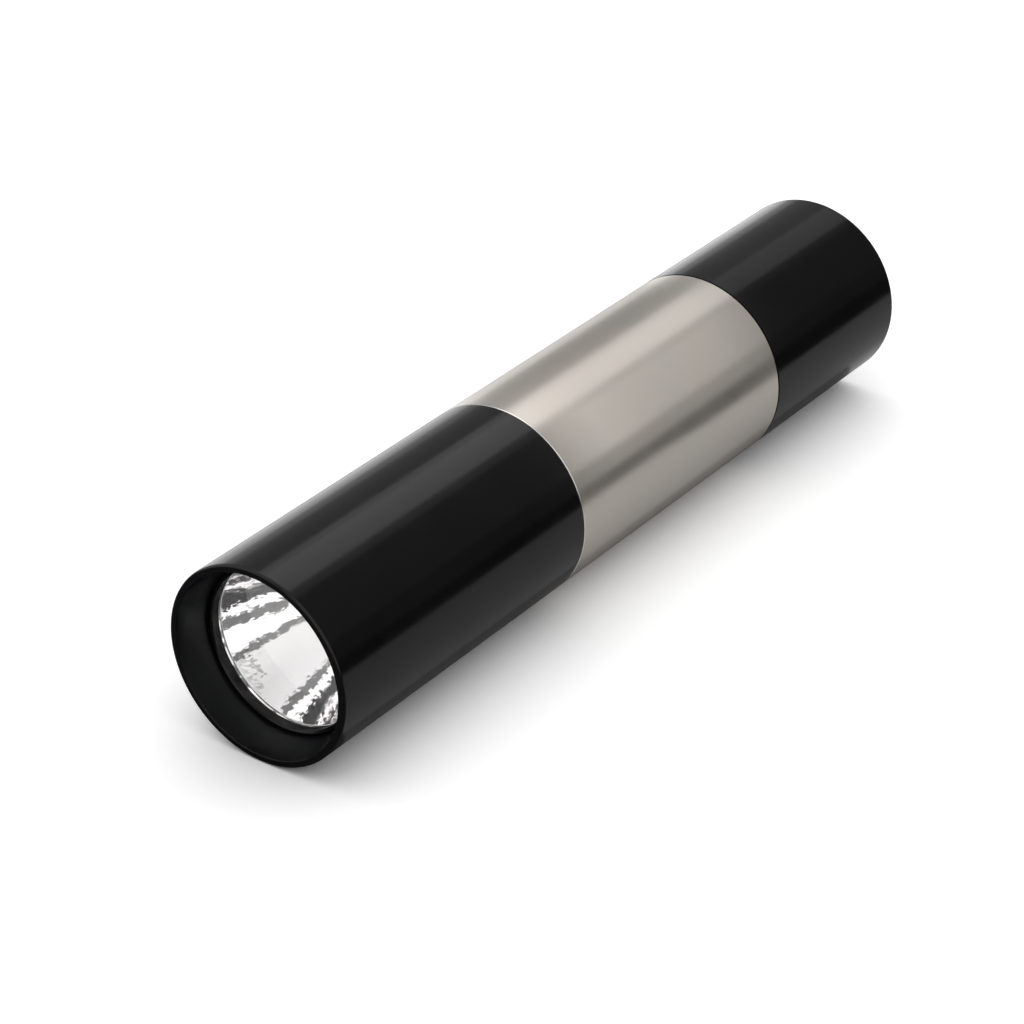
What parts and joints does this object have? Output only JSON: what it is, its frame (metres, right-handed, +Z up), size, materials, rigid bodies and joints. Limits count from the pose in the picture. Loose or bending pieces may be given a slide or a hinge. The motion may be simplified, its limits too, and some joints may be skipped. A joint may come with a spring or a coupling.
{
  "type": "flashlight",
  "caption": "Plain tube flashlight with a recessed lens, a screwed-on head and tail cap, a tail push button and a slide-out battery cassette.",
  "frame": {"origin": "on the floor under the middle of the tube, which lies on its side", "axes": "+Y along the tube from the lens to the tail button, +Z up, +X to the right seen from the lens end looking along +Y"},
  "size_m": [0.028, 0.1316, 0.028],
  "materials": {
    "black_anodised": "satin black hard anodising",
    "bare_metal": "satin turned metal, clear anodised in a warm grey",
    "clear_lens": "polished, clear",
    "mirror": "bright vacuum-coated",
    "white_plastic": "matt white",
    "emitter": "yellow phosphor under clear silicone",
    "board": "green solder mask",
    "brass": "turned",
    "wire": "insulated wire",
    "spring_steel": "nickel-plated",
    "o_ring_rubber": "greased black rubber",
    "gasket_rubber": "soft black rubber",
    "black_plastic": "moulded black",
    "cell_jacket": "printed metal jacket",
    "contact_plate": "nickel-plated",
    "boot_rubber": "matt black silicone rubber"
  },
  "bodies": {
    "barrel": {"barrel": "bare_metal"},
    "head_seal": {"head_o_ring": "o_ring_rubber"},
    "head": {"head_shell": "black_anodised", "lens_retaining_ring": "black_anodised", "lens": "clear_lens", "lens_gasket": "gasket_rubber", "reflector": "mirror", "led_emitter": "emitter", "led_centring_ring": "white_plastic", "led_board": "white_plastic", "led_wires": "wire", "heat_sink": "brass", "driver_board": "board", "driver_spring": "spring_steel"},
    "battery_cassette": {"cassette_frame": "black_plastic", "cell_1": "cell_jacket", "cell_2": "cell_jacket", "cell_3": "cell_jacket", "cell_springs": "spring_steel", "cell_contacts": "contact_plate", "cassette_front_contact": "contact_plate", "cassette_rear_contact": "contact_plate"},
    "tail_seal": {"tail_o_ring": "o_ring_rubber"},
    "tail_cap": {"tail_shell": "black_anodised", "switch_housing": "black_plastic", "switch_body": "black_plastic", "switch_board": "board", "switch_spring": "spring_steel", "tail_spring": "spring_steel", "switch_boot": "boot_rubber"},
    "tail_button": {"switch_plunger": "white_plastic"}
  },
  "joints": [
    {"name": "head_travel", "type": "slide", "parent": "barrel", "child": "head_seal", "axis": [0, -1, 0], "range_m": [0, 0.01001], "deforming": ["driver_spring"]},
    {"name": "head_turn", "type": "hinge", "parent": "head_seal", "child": "head", "pos_m": [0, -0.01475, 0.014], "axis": [0, -1, 0], "range_deg": [0, 2880]},
    {"name": "battery_draw", "type": "slide", "parent": "barrel", "child": "battery_cassette", "axis": [0, 1, 0], "range_m": [0, 0.06]},
    {"name": "tail_travel", "type": "slide", "parent": "battery_cassette", "child": "tail_seal", "axis": [0, 1, 0], "range_m": [0, 0.01001], "deforming": ["tail_spring"]},
    {"name": "tail_turn", "type": "hinge", "parent": "tail_seal", "child": "tail_cap", "pos_m": [0, 0.03375, 0.014], "axis": [0, 1, 0], "range_deg": [0, 2880]},
    {"name": "button_press", "type": "slide", "parent": "tail_cap", "child": "tail_button", "axis": [0, -1, 0], "range_m": [0, 0.0016], "stiffness_N_per_m": 1500, "springref_m": -0.0008, "deforming": ["switch_spring", "switch_boot"]}
  ],
  "couplings": [
    {"joint": "head_travel", "follows": "head_turn", "m_per_rad": 0.00019894},
    {"joint": "tail_travel", "follows": "tail_turn", "m_per_rad": 0.00019894}
  ]
}
